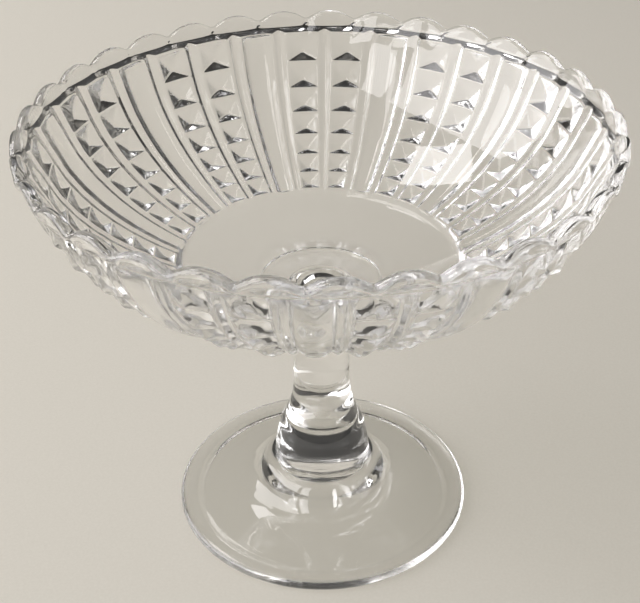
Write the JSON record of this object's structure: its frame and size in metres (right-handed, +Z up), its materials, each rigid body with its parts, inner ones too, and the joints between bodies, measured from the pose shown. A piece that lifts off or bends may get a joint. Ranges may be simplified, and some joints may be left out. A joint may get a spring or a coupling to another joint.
{
  "type": "footed glass dish",
  "caption": "Footed open dish of clear pressed glass: scalloped bowl with diamond-point and fluted panels, on a flared stem and a round foot.",
  "frame": {"origin": "centre of the foot, on the surface that the dish stands on", "axes": "+Z up along the axis of the dish"},
  "size_m": [0.216, 0.216, 0.1733],
  "materials": {
    "bowl_glass": "fire-polished clear pressed glass, faintly warm",
    "wafer_glass": "clear glass, fire polished",
    "stem_glass": "clear solid glass, fire polished",
    "foot_glass": "clear glass, lightly rubbed on its resting ring"
  },
  "bodies": {
    "root": {"bowl": "bowl_glass", "wafer": "wafer_glass", "stem": "stem_glass", "foot": "foot_glass"}
  },
  "joints": []
}
